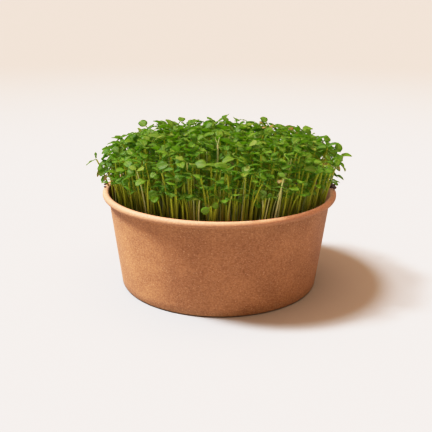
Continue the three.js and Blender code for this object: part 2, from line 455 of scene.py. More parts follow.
# %% Growing medium
PEAT_DARK = linear(38, 27, 18)
PEAT = linear(84, 62, 42)
COIR = linear(128, 98, 66)
MEDIUM_TOP = 44 * MM
MEDIUM_LOW = BASE_HEIGHT + PAPER + 0.3 * MM
MEDIUM_GAP = 0.3 * MM
MEDIUM_ROUND = 1.2 * MM
MEDIUM_RINGS = 46
MEDIUM_CORE = 1.5 * MM
SOIL_CRUMB_SCALE = 420
SOIL_FIBRE_SCALE = 1400
SOIL_RELIEF = 0.6 * MM
CRUMB_SCALE = 260
CRUMB_HEIGHT = 1.3 * MM
CRUMB_SINK = 0.4 * MM
NEAR_TOP = 0.1 * MM


def soil_material():
    material, g, surface = new_material("moist_growing_medium")
    here = g.add("ShaderNodeTexCoord")["Object"]
    crumbs = noise_of(g, here, SOIL_CRUMB_SCALE, 4, 0.6)
    fibres = contrast(g, noise_of(g, here, SOIL_FIBRE_SCALE, 2), 0.55, 0.72)
    colour = mixed(g, crumbs, PEAT_DARK, PEAT)
    colour = mixed(g, fibres * 0.5, colour, COIR)
    bump = g.add("ShaderNodeBump", {}, Strength=0.8, Distance=SOIL_RELIEF, Height=crumbs)
    shader = g.add("ShaderNodeBsdfPrincipled", {}, Base_Color=colour, Roughness=0.92, Normal=bump)
    g.feed(surface, shader)
    return material


medium_at = lambda z: wall_at(z) - PAPER - MEDIUM_GAP
soil = soil_material()
top_edge = medium_at(MEDIUM_TOP) - MEDIUM_ROUND
medium_section = [
    (0, MEDIUM_LOW),
    (medium_at(MEDIUM_LOW), MEDIUM_LOW),
    (medium_at(MEDIUM_TOP - MEDIUM_ROUND), MEDIUM_TOP - MEDIUM_ROUND),
    *[(r, MEDIUM_TOP) for r in np.linspace(top_edge, MEDIUM_CORE, MEDIUM_RINGS)],
    (0, MEDIUM_TOP),
]
medium = turned("growing_medium_block", medium_section, soil)
for vertex in medium.data.vertices:
    radius = vertex.co.to_2d().length
    if vertex.co.z > MEDIUM_TOP - NEAR_TOP and radius < top_edge - NEAR_TOP:
        rough = noise.fractal(vertex.co * CRUMB_SCALE, 0.7, 2.1, 4)
        vertex.co.z += CRUMB_HEIGHT * rough - CRUMB_SINK
medium.data.update()
finish_piece(medium, "soil", "growing_medium")
print("medium faces:", len(medium.data.polygons))

# %% [markdown]
# ## Leaf and stem finishes
# A seed leaf is a smooth mid green with a paler midrib and a few faint side veins, and its
# underside is greyer. It is so thin that light from behind glows through it, which a share of
# Translucent shader gives. A stem is dull and olive at its foot, darkened there by painted shade
# deep in the stand, and pale and glowing towards its leaves. Each seedling carries a random `tone`,
# so that no two neighbours have quite one colour: 0 to 1 is green, below 0 reddened, just above 1
# dried, and 3 a bare one, pale in its own colour and paler still by painted sunlight.

# %% Leaf material
LEAF_DEEP = linear(72, 128, 12)
LEAF_FRESH = linear(127, 171, 36)
LEAF_YELLOW = linear(176, 196, 92)
LEAF_UNDER = linear(152, 180, 102)
LEAF_DRIED = linear(206, 160, 104)
LEAF_REDDENED = linear(176, 84, 52)
# Near white for the bare seedling's arms: partly their own pale colour, partly painted sunlight
LEAF_PALE_AND_SUNLIT = linear(236, 242, 170)
LEAF_GLOW = (0.37, 0.64, 0.01, 1)
GLOW_SHARE = 0.5
PALE_OPACITY = 0.8
YELLOW_TONE = (0.86, 1.0)
DRIED_TONE = (1.0, 1.1)
RED_TONE = (-0.1, -0.2)
PALE_TONE = (2.4, 2.5)
RIB_REACH = 0.07
VEINS_ALONG = 34
VEINS_ACROSS = 26
BLOTCH_SCALE = 500
SKIN_RELIEF = 0.2 * MM


def attribute(g, name):
    """A number that the mesh carries."""
    return g.add("ShaderNodeAttribute", {"attribute_name": name})["Fac"]


def leaf_material():
    material, g, surface = new_material("seed_leaf_green")
    uv = g.add("ShaderNodeSeparateXYZ", {}, g.add("ShaderNodeUVMap", {"uv_map": "leaf"}))
    along, off_rib = uv["X"], (uv["Y"] - 0.5).math("ABSOLUTE")
    tone = attribute(g, "tone")
    here = g.add("ShaderNodeTexCoord")["Object"]
    blotch = contrast(g, noise_of(g, here, BLOTCH_SCALE, 2), 0.35, 0.7)
    colour = mixed(g, tone * 0.8 + blotch * 0.2, LEAF_DEEP, LEAF_FRESH)
    colour = mixed(g, contrast(g, tone, *YELLOW_TONE) * 0.6, colour, LEAF_YELLOW)
    colour = mixed(g, contrast(g, tone, *DRIED_TONE) * 0.9, colour, LEAF_DRIED)
    colour = mixed(g, contrast(g, tone, *RED_TONE) * blotch, colour, LEAF_REDDENED)
    rib = 1 - contrast(g, off_rib, 0.0, RIB_REACH)
    ripple = (along * VEINS_ALONG - off_rib * VEINS_ACROSS).math("SINE")
    side_veins = contrast(g, ripple, 0.75, 1.0)
    veins = rib * 0.55 + side_veins * 0.14
    colour = mixed(g, veins, colour, LEAF_YELLOW)
    colour = mixed(g, attribute(g, "under") * 0.6, colour, LEAF_UNDER)
    # Painted sunlight: the bare seedling's arms turn near white, paler than their own colour
    pale = contrast(g, tone, *PALE_TONE)
    colour = mixed(g, pale, colour, LEAF_PALE_AND_SUNLIT)
    bump = g.add("ShaderNodeBump", {}, Strength=0.3, Distance=SKIN_RELIEF, Height=1 - veins)
    skin = g.add(
        "ShaderNodeBsdfPrincipled", {}, Base_Color=colour, Roughness=0.5,
        Specular_IOR_Level=0.42, Normal=bump,
    )
    glow = g.add("ShaderNodeBsdfTranslucent", {}, Color=LEAF_GLOW)
    share = (1 - pale * PALE_OPACITY) * GLOW_SHARE
    g.feed(surface, g.add("ShaderNodeMixShader", {}, share, skin, glow))
    return material


# %% Stem material
# The foot colour is partly the stem's own dull olive and partly painted shade, deep in the stand
STEM_FOOT_AND_SHADE = linear(90, 80, 12)
STEM_TOP = linear(206, 226, 66)
STEM_RED = linear(204, 148, 86)
STEM_PALE = linear(240, 244, 178)
STEM_GLOW = (0.66, 0.65, 0.09, 1)
STEM_GLOW_SHARE = 0.5
STEM_GREENING_OUT_OF_SHADE = (0.26, 0.96)
STEM_CLEARING = (0, 0.84)
WHITISH_TONE = (0.86, 0.97)
STREAK_SCALE = (2600, 2600, 160)


def stem_material():
    material, g, surface = new_material("seedling_stem")
    along, tone = attribute(g, "along"), attribute(g, "tone")
    # Partly painted shade: the stem darkens towards its foot, deep in the stand; part of that olive
    # is its own colour
    colour = mixed(g, contrast(g, along, *STEM_GREENING_OUT_OF_SHADE), STEM_FOOT_AND_SHADE, STEM_TOP)
    flush = contrast(g, tone, 0.1, 0.0) * (1 - along)
    colour = mixed(g, flush * 0.7, colour, STEM_RED)
    here = g.add("ShaderNodeTexCoord")["Object"]
    streaks = noise_of(g, g.add("ShaderNodeMapping", {}, Vector=here, Scale=STREAK_SCALE), 1, 2)
    colour = mixed(g, streaks * 0.4, colour, STEM_FOOT_AND_SHADE)
    # The whitish stems are a random tone; the bare seedling's stem is made paler still as painted
    # sunlight
    pale = contrast(g, tone, *WHITISH_TONE) * 0.6 + contrast(g, tone, *PALE_TONE) * 0.4
    colour = mixed(g, pale, colour, STEM_PALE)
    skin = g.add(
        "ShaderNodeBsdfPrincipled", {}, Base_Color=colour, Roughness=0.65, Specular_IOR_Level=0.2
    )
    glow = g.add("ShaderNodeBsdfTranslucent", {}, Color=STEM_GLOW)
    share = (1 - pale * PALE_OPACITY) * contrast(g, along, *STEM_CLEARING) * STEM_GLOW_SHARE
    g.feed(surface, g.add("ShaderNodeMixShader", {}, share, skin, glow))
    return material


# %% Seed coat material
COAT_DARK = linear(44, 26, 16)
COAT_BROWN = linear(96, 60, 36)
PIT_SCALE = 1600


def seed_coat_material():
    material, g, surface = new_material("brown_seed_coat")
    here = g.add("ShaderNodeTexCoord")["Object"]
    pits = noise_of(g, here, PIT_SCALE, 2)
    colour = mixed(g, contrast(g, pits, 0.35, 0.75), COAT_DARK, COAT_BROWN)
    bump = g.add("ShaderNodeBump", {}, Strength=0.5, Distance=SKIN_RELIEF, Height=pits)
    shader = g.add("ShaderNodeBsdfPrincipled", {}, Base_Color=colour, Roughness=0.7, Normal=bump)
    g.feed(surface, shader)
    return material


leaf_green = leaf_material()
stem_green = stem_material()
seed_coat = seed_coat_material()
print("finishes:", [material.name for material in (leaf_green, stem_green, seed_coat)])

# %% [markdown]
# ## Leaf shapes
# A cress seed leaf is a short stalk and a round blade, widest past its middle, often with a small
# notch at its tip. Each shape here is a closed lens: a top and a bottom sheet that share their
# edge, so the leaf is thickest at its rib. A few shapes that differ in cup, droop and outline are
# enough, because each copy is also turned, tilted and sized at random. The last shape is almost all
# stalk, for the arms of the one bare seedling.

# %% Leaf shapes
COLUMNS = (-1.0, -0.55, 0.0, 0.55, 1.0)
STALK_ROWS = (0.0, 0.5)
BLADE_ROWS = (0.0, 0.14, 0.3, 0.48, 0.66, 0.83, 0.95, 1.0)
STALK_HALF_WIDTH = 0.3 * MM
STALK_THICKNESS = 0.5 * MM
BLADE_THICKNESS = 0.3 * MM
ROUND_REACH = 0.51
FULLNESS = 2.35
STALK_BEND = 1.25
DROOP_POWER = 1.5
BLADE_OPENING = 8
RIB_BOW = 0.05
NOTCH_FROM = 0.7
WAVES_ALONG = 9
WAVES_ACROSS = 2


def leaf_shape(name, length, width, stalk, rise, droop, fold, wave, notch):
    """One leaf along +X from its stem, with a UV map named leaf and a mark on its underside."""
    total = stalk + length
    rows = [share * stalk for share in STALK_ROWS] + [stalk + share * length for share in BLADE_ROWS]
    vertices, grid, uvs = [], [], []
    x = z = before = 0.0
    for distance in rows:
        blade = max(0.0, (distance - stalk) / length)
        bent = min(1.0, distance / (STALK_BEND * stalk)) ** 2
        angle = rise * (1 - bent) - droop * blade**DROOP_POWER
        x += (distance - before) * math.cos(angle)
        z += (distance - before) * math.sin(angle)
        before = distance
        spread = (1 - (abs(blade - 0.5) / ROUND_REACH) ** FULLNESS) ** (1 / FULLNESS)
        in_blade = min(1.0, blade * BLADE_OPENING)
        half = STALK_HALF_WIDTH * (1 - in_blade) + width / 2 * spread * in_blade
        thick = STALK_THICKNESS * (1 - in_blade) + BLADE_THICKNESS * in_blade
        row = []
        for column in COLUMNS:
            edge = abs(column)
            near_tip = max(0.0, (blade - NOTCH_FROM) / (1 - NOTCH_FROM))
            pull = notch * length * near_tip**2 * (1 - edge)
            bow = RIB_BOW * length * blade * (1 - edge * edge)
            ripple = math.sin(WAVES_ALONG * blade + WAVES_ACROSS * column)
            lift = in_blade * edge * half * (fold + wave * ripple)
            middle = Vector((x - pull + bow, column * half, z + lift))
            normal = Vector((-math.sin(angle), 0, math.cos(angle))) * thick / 2 * (1 - edge**2)
            pair = [len(vertices)]
            vertices.append(middle + normal)
            uvs.append((distance / total, 0.5 + 0.5 * column))
            if edge < 1:
                pair.append(len(vertices))
                vertices.append(middle - normal)
                uvs.append(uvs[-1])
            row.append((pair[0], pair[-1]))
        grid.append(row)
    top, bottom = [], []
    for near, far in zip(grid, grid[1:]):
        for k in range(len(COLUMNS) - 1):
            top.append((near[k][0], far[k][0], far[k + 1][0], near[k + 1][0]))
            bottom.append((near[k][1], near[k + 1][1], far[k + 1][1], far[k][1]))
    rim = lambda row: [pair[0] for pair in row] + [pair[1] for pair in row[-2:0:-1]]
    caps = [tuple(rim(grid[0])), tuple(reversed(rim(grid[-1])))]
    leaf = mesh_object(name, vertices, top + bottom + caps, leaf_green)
    map_layer = leaf.data.uv_layers.new(name="leaf")
    corners = [uvs[loop.vertex_index] for loop in leaf.data.loops]
    map_layer.data.foreach_set("uv", np.array(corners, dtype=np.float32).ravel())
    under = leaf.data.attributes.new("under", "FLOAT", "FACE")
    under.data.foreach_set("value", [0.0] * len(top) + [1.0] * (len(bottom) + 2))
    return leaf


LEAF_SHAPES = [
    dict(length=5.9, width=5.4, stalk=1.8, rise=0.6, droop=0.2, fold=0.16, wave=0.09, notch=0.10),
    dict(length=6.7, width=5.5, stalk=2.2, rise=0.5, droop=0.4, fold=0.28, wave=0.10, notch=0.04),
    dict(length=5.5, width=5.8, stalk=1.6, rise=0.7, droop=0.1, fold=-0.08, wave=0.12, notch=0.22),
    dict(length=6.9, width=5.0, stalk=2.0, rise=0.5, droop=0.3, fold=0.40, wave=0.07, notch=0.0),
    dict(length=5.0, width=4.8, stalk=2.6, rise=0.4, droop=0.1, fold=0.20, wave=0.14, notch=0.12),
    dict(length=6.3, width=6.0, stalk=1.6, rise=0.6, droop=0.6, fold=-0.04, wave=0.12, notch=0.18),
]
BARE_ARM = dict(length=1.6, width=0.9, stalk=4.4, rise=0.1, droop=0, fold=0.3, wave=0, notch=0)
leaf_collection = bpy.data.collections.new("leaf_shapes")
SCALED = ("length", "width", "stalk")
for number, shape in enumerate([*LEAF_SHAPES, BARE_ARM], 1):
    sizes = {key: value * MM if key in SCALED else value for key, value in shape.items()}
    leaf_collection.objects.link(leaf_shape(f"leaf_shape_{number}", **sizes))

# %% [markdown]
# ## What every seedling is given
# Two trees grow seedlings: one sows them at random, the other plants a few one by one. Both describe
# a seedling by the same numbers, which its root point carries: where it is rooted, where it bends and
# ends, how thick it is, its tone, and the turn, pitch, roll, size and shape of its two leaves. One
# function then adds the nodes that turn such points into stems and leaves.

# %% Growing from points
STEM_FOOT_RADIUS = 0.66 * MM
STEM_TOP_RADIUS = 0.5 * MM
STEM_POINTS = 7
STEM_SIDES = 6
HULL_RADIUS = 0.5 * MM
HULL_SHAPE = (1.7, 1.0, 0.8)
HULL_OFF = (0.4 * MM, 0.3 * MM, 0.6 * MM)
POINT_VECTORS = ("root", "bend", "head", "pitch", "roll", "size", "shape")
SPENT = (*POINT_VECTORS, "turn", "girth", "hull", "side", "number")


def vector(g, *values):
    """Three numbers as one vector."""
    return g.add("ShaderNodeCombineXYZ", {}, *values)


def store(g, geometry, name, value, kind="FLOAT"):
    """Keeps a value on each point."""
    settings = {"data_type": kind, "domain": "POINT"}
    return g.add("GeometryNodeStoreNamedAttribute", settings, geometry, Name=name, Value=value)


def stored(g, name, kind="FLOAT"):
    """A value kept on each point."""
    return g.add("GeometryNodeInputNamedAttribute", {"data_type": kind}, Name=name)


def grow(g, seeds, leaf_shapes):
    """Stems, leaves and seed coats for points that carry what a seedling is given."""
    root, bend, head = (stored(g, name, "FLOAT_VECTOR") for name in ("root", "bend", "head"))

    # Stems: one straight curve a seedling, moved onto the arc from root to head
    line = g.add("GeometryNodeCurvePrimitiveLine")
    line = g.add("GeometryNodeResampleCurve", {"mode": "COUNT"}, line, Count=STEM_POINTS)
    stems = g.add("GeometryNodeInstanceOnPoints", {}, seeds, Instance=line)
    stems = g.add("GeometryNodeRealizeInstances", {}, stems)
    t = g.add("GeometryNodeSplineParameter")
    arc = root * ((1 - t) * (1 - t)) + bend * (t * (1 - t) * 2) + head * (t * t)
    stems = g.add("GeometryNodeSetPosition", {}, stems, Position=arc)
    stems = store(g, stems, "along", t)
    girth = (STEM_FOOT_RADIUS + (STEM_TOP_RADIUS - STEM_FOOT_RADIUS) * t) * stored(g, "girth")
    settings = {"mode": "RADIUS"}
    ring = g.add("GeometryNodeCurvePrimitiveCircle", settings, Resolution=STEM_SIDES, Radius=1.0)
    stems = g.add("GeometryNodeCurveToMesh", {}, stems, ring, girth, True)
    stems = g.add("GeometryNodeSetMaterial", {}, stems, Material=stem_green)

    # Leaves: two points a seedling, each with a leaf turned about the stem
    heads = g.add("GeometryNodeSetPosition", {}, seeds, Position=head)
    doubled = g.add("GeometryNodeDuplicateElements", {"domain": "POINT"}, heads, Amount=2)
    leaf_points = store(g, doubled, "side", doubled["Duplicate Index"], "INT")
    side = stored(g, "side", "INT")

    def of_leaf(name):
        """The first number of a pair for the first leaf, and the second for the other."""
        pair = g.add("ShaderNodeSeparateXYZ", {}, stored(g, name, "FLOAT_VECTOR"))
        return pair["X"] * (1 - side) + pair["Y"] * side

    axis = g.add("FunctionNodeAlignRotationToVector", {"axis": "Z"}, Vector=head - bend)
    angles = vector(g, of_leaf("roll"), of_leaf("pitch"), stored(g, "turn") + side * math.pi)
    tilt = g.add("FunctionNodeEulerToRotation", {}, angles)
    rotation = g.add("FunctionNodeRotateRotation", {"rotation_space": "LOCAL"}, axis, tilt)
    shapes = g.add("GeometryNodeCollectionInfo", {}, leaf_shapes, True, True)
    leaves = g.add(
        "GeometryNodeInstanceOnPoints", {}, leaf_points, Instance=shapes, Pick_Instance=True,
        Instance_Index=of_leaf("shape").math("FLOOR"), Rotation=rotation, Scale=of_leaf("size"),
    )
    leaves = g.add("GeometryNodeRealizeInstances", {}, leaves)
    leaves = g.add("GeometryNodeSetMaterial", {}, leaves, Material=leaf_green)

    # Seed coats that still hang on a few heads
    coat = g.add("GeometryNodeMeshIcoSphere", {}, Radius=HULL_RADIUS, Subdivisions=1)
    coat = g.add("GeometryNodeTransform", {}, coat, Scale=HULL_SHAPE)
    coat = g.add("GeometryNodeTransform", {}, coat, Translation=HULL_OFF)
    worn = g.add("FunctionNodeCompare", {"operation": "GREATER_THAN"}, stored(g, "hull"), 0.5)
    coats = g.add(
        "GeometryNodeInstanceOnPoints", {}, heads, Selection=worn, Instance=coat, Rotation=axis
    )
    coats = g.add("GeometryNodeRealizeInstances", {}, coats)
    coats = g.add("GeometryNodeSetMaterial", {}, coats, Material=seed_coat)

    joined = g.tree.nodes.new("GeometryNodeJoinGeometry")
    for branch in (leaves, coats, stems):
        g.tree.links.new(branch.socket, joined.inputs[0])
    return g.add("GeometryNodeSetShadeSmooth", {}, Value(g, joined.outputs[0]))


def new_tree(name, *sockets):
    """A Geometry Nodes tree with inputs given as (name, kind), as its graph and inputs."""
    tree = bpy.data.node_groups.new(name, "GeometryNodeTree")
    for socket_name, kind in sockets:
        tree.interface.new_socket(
            name=socket_name, in_out="INPUT", socket_type=f"NodeSocket{kind}"
        )
    tree.interface.new_socket(
        name="Geometry", in_out="OUTPUT", socket_type="NodeSocketGeometry"
    )
    g = Graph(tree)
    return g, g.add("NodeGroupInput")


def end_tree(g, geometry):
    """Feeds a geometry to the tree's output."""
    g.feed(g.tree.nodes.new("NodeGroupOutput").inputs["Geometry"], geometry)
    return g.tree


def grown(name, tree, inputs, start=None):
    """The plain mesh object that a Geometry Nodes tree makes from its inputs and a start mesh."""
    host = bpy.data.objects.new(name, start or bpy.data.meshes.new(name))
    bpy.context.scene.collection.objects.link(host)
    modifier = host.modifiers.new("grow", "NODES")
    modifier.node_group = tree
    for socket in tree.interface.items_tree:
        if socket.in_out == "INPUT" and socket.name in inputs:
            modifier[socket.identifier] = inputs[socket.name]
    graph = bpy.context.evaluated_depsgraph_get()
    mesh = bpy.data.meshes.new_from_object(
        host.evaluated_get(graph), preserve_all_data_layers=True, depsgraph=graph
    )
    host.modifiers.remove(modifier)
    host.data = mesh
    for spent in SPENT:
        if spent in mesh.attributes:
            mesh.attributes.remove(mesh.attributes[spent])
    return host


# %% [markdown]
# ## Growing the stand
# Seeds sown evenly by hand end up much like a sunflower's florets: about equally far apart, with
# no rows. The golden angle gives that. One tree places all the seedlings, keeps those nearest to
# one tuft, and grows each. The stand is nearly level, drops at its edge, where the seedlings lean
# over the rim, and has one small gap in front. The tree runs once for each tuft, so that each tuft is
# a mesh of its own that stands where its CAD node does.

# %% Stand sizes
GOLDEN_ANGLE = math.pi * (3 - math.sqrt(5))
STAND = {
    "Tufts": len(tuft_nodes),
    "Tuft Spread": 61.2 * MM,
    "Seedlings": 1600,
    "Root Spread": 66.5 * MM,
    "Medium Top": MEDIUM_TOP,
    "Stand Height": 95.4 * MM,
    "Edge Drop": 12 * MM,
    "Flare": 0.065,
    "Seed": 5,
}
WHOLE_NUMBERS = ("Tuft", "Tufts", "Seedlings", "Seed")
ROOT_DEPTH = 1 * MM
SOWING_JITTER = 1.3 * MM
SPREAD = (1.05, 0.96, 1.0)
LEAN = Vector((1.2, 2.0, 0)) * MM
DROP_POWER = 7
DRIFT = 14 * MM
DRIFT_SCALE = 42
ROLLING = 7 * MM
ROLLING_SCALE = 60
HEAD_SCATTER = 3 * MM
BEND_SCATTER = 3.4 * MM
BEND_SHARE = 0.58
BEND_OUT = 0.18
STORY_DEPTH = 25 * MM
STORY_POWER = 2.0
LOW_PULL = 0.06
LOWEST_HEAD = 66 * MM
LOWEST_RISE = 6 * MM
TALL_SHARE = 0.1
TALL_BY = 2 * MM
HULL_SHARE = 0.04
DRY_SHARE = 0.015
STEP = 0.001
GAP_PLACE = Vector((-2, -46, 0)) * MM
GAP_RADIUS = 11 * MM
GAP_CORE = 0.4
GAP_DEPTH = 11 * MM
LEAF_PITCHES = (-0.75, 0.3)
LEAF_ROLL = 0.45
LEAF_SIZES = (0.78, 1.14)
LOW_LEAF_LOSS = 0.25
DRY_LEAF_LOSS = 0.4
GIRTHS = (0.55, 0.98)


# %% Stand tree
def stand_tree():
    kind = lambda name: "Int" if name in WHOLE_NUMBERS else "Float"
    sockets = [(name, kind(name)) for name in ("Tuft", *STAND)]
    g, given = new_tree("sow_tuft", *sockets, ("Leaf Shapes", "Collection"))

    def spiral(count, spread):
        """Places spread evenly over a disc by the golden angle."""
        index = g.add("GeometryNodeInputIndex")
        out = spread * ((index + 0.5) / count).math("SQRT")
        turn = index * GOLDEN_ANGLE
        return vector(g, turn.math("COSINE") * out, turn.math("SINE") * out, 0.0)

    def draw(low, high, seed, number):
        """A random number for each seedling."""
        return g.add(
            "FunctionNodeRandomValue", {"data_type": "FLOAT"},
            Min=low, Max=high, ID=number, Seed=given["Seed"] + seed,
        )

    # All the seeds, then only those nearest to this tuft
    index = g.add("GeometryNodeInputIndex")
    jitter = [draw(-SOWING_JITTER, SOWING_JITTER, seed, index) for seed in (1, 2)]
    sown = spiral(given["Seedlings"], given["Root Spread"])
    sown = sown + vector(g, *jitter, given["Medium Top"] - ROOT_DEPTH)
    seeds = g.add("GeometryNodePoints", {}, given["Seedlings"], sown)
    seeds = store(g, seeds, "number", index, "INT")
    tufts = spiral(given["Tufts"], given["Tuft Spread"])
    centres = g.add("GeometryNodePoints", {}, given["Tufts"], tufts)
    root = g.add("GeometryNodeInputPosition")
    ground = root * (1, 1, 0)
    nearest = g.add("GeometryNodeSampleNearest", {"domain": "POINT"}, centres, ground)
    settings = {"data_type": "INT", "operation": "NOT_EQUAL"}
    elsewhere = g.add("FunctionNodeCompare", settings, A=nearest, B=given["Tuft"])
    seeds = g.add("GeometryNodeDeleteGeometry", {"domain": "POINT"}, seeds, elsewhere)

    # Each seedling's head and bend, from where it is rooted
    number = stored(g, "number", "INT")
    either = lambda size, seed: draw(-size, size, seed, number)
    outness = ground.math("LENGTH") / given["Root Spread"]
    swirl = g.add("ShaderNodeTexNoise", {}, Vector=ground, Scale=DRIFT_SCALE)
    drift = (swirl["Color"] - 0.5) * (DRIFT, DRIFT, 0)
    scatter = vector(g, either(HEAD_SCATTER, 3), either(HEAD_SCATTER, 4), 0.0)
    low = draw(0, 1, 5, number) ** (STORY_POWER - outness)
    depth = low * STORY_DEPTH
    reach = 1 + (given["Flare"] - LOW_PULL * low) * outness
    head_ground = ground * reach * SPREAD + (drift + scatter) * (1 - low * 0.5) + LEAN
    swell = g.add("ShaderNodeTexNoise", {}, Vector=ground, Scale=ROLLING_SCALE) - 0.5
    tall = contrast(g, draw(0, 1, 6, number), 1 - TALL_SHARE, 1.0) * TALL_BY
    drop = given["Edge Drop"] * outness**DROP_POWER
    gap = contrast(g, (ground - GAP_PLACE).math("LENGTH"), GAP_RADIUS, GAP_CORE * GAP_RADIUS)
    height = given["Stand Height"] - drop + swell * ROLLING - depth + tall - gap * GAP_DEPTH
    height = height.math("MAXIMUM", LOWEST_HEAD + outness**DROP_POWER * LOWEST_RISE)
    head = head_ground + vector(g, 0.0, 0.0, height)
    bend_height = given["Medium Top"] * (1 - BEND_SHARE) + height * BEND_SHARE
    wobble = vector(g, either(BEND_SCATTER, 7), either(BEND_SCATTER, 8), bend_height)
    bend = ground + (head_ground - ground) * BEND_OUT + wobble

    # What each seedling is given, with a draw for each leaf of its pair
    leaf_size = 1 - LOW_LEAF_LOSS * depth / STORY_DEPTH
    dried = contrast(g, draw(0, 1, 17, number), 1 - DRY_SHARE, 1 - DRY_SHARE + STEP)
    settled = contrast(g, draw(0, 1, 18, number), 1 - HULL_SHARE, 1 - HULL_SHARE + STEP)
    kept_size = leaf_size * (1 - DRY_LEAF_LOSS * dried)
    pairs = {
        "pitch": [draw(*LEAF_PITCHES, seed, number) for seed in (11, 21)],
        "roll": [either(LEAF_ROLL, seed) for seed in (12, 13)],
        "size": [draw(*LEAF_SIZES, seed, number) * kept_size for seed in (14, 19)],
        "shape": [draw(0, len(LEAF_SHAPES), seed, number) for seed in (15, 16)],
    }
    for name, pair in pairs.items():
        seeds = store(g, seeds, name, vector(g, *pair, 0.0), "FLOAT_VECTOR")
    seeds = store(g, seeds, "turn", draw(0, math.tau, 10, number))
    seeds = store(g, seeds, "girth", draw(*GIRTHS, 20, number))
    seeds = store(g, seeds, "tone", draw(0, 1, 9, number) + dried)
    seeds = store(g, seeds, "hull", settled)
    for name, place in (("bend", bend), ("head", head), ("root", root)):
        seeds = store(g, seeds, name, place, "FLOAT_VECTOR")
    return end_tree(g, grow(g, seeds, given["Leaf Shapes"]))


# %% Grow each tuft
tuft_tree = stand_tree()
triangle_count = 0
tufts = []
for number, node in enumerate(tuft_nodes):
    inputs = {**STAND, "Tuft": number, "Leaf Shapes": leaf_collection}
    tuft = grown(f"cress_{node}", tuft_tree, inputs)
    finish_piece(tuft, "greens", node)
    tufts.append(tuft)
    triangle_count += sum(len(face.vertices) - 2 for face in tuft.data.polygons)
print("seedling triangles:", triangle_count)

# %% [markdown]
# ## Single seedlings planted one by one
# What the eye keeps from this stand is its outline: a few heads that stand clear of the rest, at
# the rim and along the top, and one bare fork in the gap in front, pale in its own colour and made
# paler still as painted sunlight. Those are planted one by one. Each row gives where a head is, in
# millimetres, the turn of its first leaf about the stem, seen from above with 0 to the right, the
# pitch, roll and size of both leaves, and the tone. They use the same growing nodes as the stand, on
# a mesh of loose points that carry these numbers.

# %% Single seedlings
SINGLES = (
    # head x, y, z, turn, pitches, rolls, sizes, tone
    (-79, 0, 79.5, 195, (0, -65), (0, 20), (1.0, 0.7), 0.3),
    (-73, -3, 74.5, 180, (10, -20), (-30, 20), (0.9, 0.8), -1.0),
    (-73, -6, 78, 180, (15, -10), (-40, 20), (0.85, 0.9), 0.5),
    (-69, 8, 83, 170, (-15, 0), (-30, 10), (0.95, 0.9), 0.4),
    (-69, 18, 87, 185, (-5, -10), (0, 10), (0.8, 1.2), 0.2),
    (-61, 12, 90, 170, (10, -5), (-25, 20), (1.1, 1.1), 0.3),
    (-49, 32, 94, 140, (-45, -5), (-30, 30), (1.1, 0.9), 0.4),
    (-56, 30, 91, 175, (-5, -10), (0, 0), (0.9, 0.8), 0.3),
    (-71, -8, 72.5, 200, (30, -20), (-20, 0), (0.7, 0.7), 1.9),
    (54, 26, 92, 30, (-30, -10), (35, 0), (1.0, 0.8), 0.3),
    (61, 20, 91, 10, (-10, -30), (10, -50), (0.9, 0.9), 0.3),
    (67, 6, 90, 10, (35, -20), (20, 0), (1.1, 0.8), 0.2),
    (68, 0, 87, 0, (10, -10), (40, 0), (1.0, 0.8), 0.3),
    (75, 4, 83, 95, (-55, -5), (0, 0), (1.0, 0.6), 0.4),
    (72.5, -2, 81, 15, (-10, 25), (5, 20), (0.75, 0.7), 0.3),
    (74, 3, 78, 170, (50, 75), (-20, 20), (0.6, 0.7), 0.6),
    (71.4, -8, 79, 180, (30, 10), (-30, 30), (0.9, 0.8), 1.9),
    (63, 14, 85, 160, (-10, -5), (-35, 20), (0.9, 0.9), 0.3),
    (66, 8, 83, 20, (-5, -10), (30, -20), (0.9, 0.8), 0.2),
    (62, 4, 84, 170, (-15, 5), (-30, 25), (0.9, 0.9), 0.4),
    (45, 36, 92, 150, (-25, -5), (-35, 20), (1.0, 0.9), 0.3),
    (51, 33, 91, 140, (-25, -15), (-35, 30), (1.0, 0.9), -1.0),
    (34, 46, 94, 145, (-35, -5), (-35, 0), (1.1, 0.9), 0.3),
    (26, 50, 94, 20, (-20, -5), (0, 0), (0.75, 0.9), 0.1),
    (20, 54, 95, 200, (-5, -5), (0, 0), (0.8, 0.8), 0.1),
    (12, 54, 94, 100, (-35, -10), (20, 20), (0.9, 0.9), 0.3),
    (-5, 55, 94, 110, (-30, 15), (20, 20), (1.2, 1.1), 0.4),
    (3, 54, 95, 70, (-35, 15), (-20, 20), (1.2, 1.0), 0.3),
    (-29, 48, 94, 60, (-30, 5), (30, -30), (1.1, 1.1), 0.4),
    (-36, 46, 92, 160, (-20, -10), (-30, 20), (0.9, 0.9), 0.3),
    (-5.0, -68, 69.5, 200, (25, 5), (-50, 50), (0.8, 0.65), 0.8),
    (-5, -54, 89, 170, (0, 5), (-25, 25), (1.15, 1.1), 0.8),
    (-70, -4, 80, 185, (0, -10), (-25, 20), (1.0, 1.05), 0.3),
    (-68.5, -6, 76, 195, (5, -5), (-35, 25), (1.05, 1.0), 0.45),
    (-70, -8, 71.5, 180, (10, -5), (-35, 30), (0.9, 0.95), 0.2),
    (-67.5, -3, 85, 170, (-5, 0), (-25, 15), (1.1, 1.0), 0.35),
    (-66.5, 0, 79, 160, (0, 0), (-30, 20), (1.1, 1.1), 0.2),
    (-27, -51, 89, 180, (5, -5), (-30, 30), (1.1, 1.0), 0.5),
    (20, -51, 85, 10, (5, -5), (30, -30), (1.1, 1.1), 0.6),
    (-34, -53, 74, 190, (10, 0), (-40, 40), (0.95, 0.9), 0.5),
)
# The columns of a row after x, y and z
TURN, PITCHES, ROLLS, SIZES, TONE = range(3, 8)
# Tone 3 makes the bare fork pale, partly its own colour and partly painted sunlight
FORK_TONE = 3.0
BARE_FORK = (-1.4, -36, 97.2, 10, (-74, -68), (0, 0), (0.8, 0.85), FORK_TONE)
ROOT_SHARE = 0.87
SECOND_SHAPE = 2


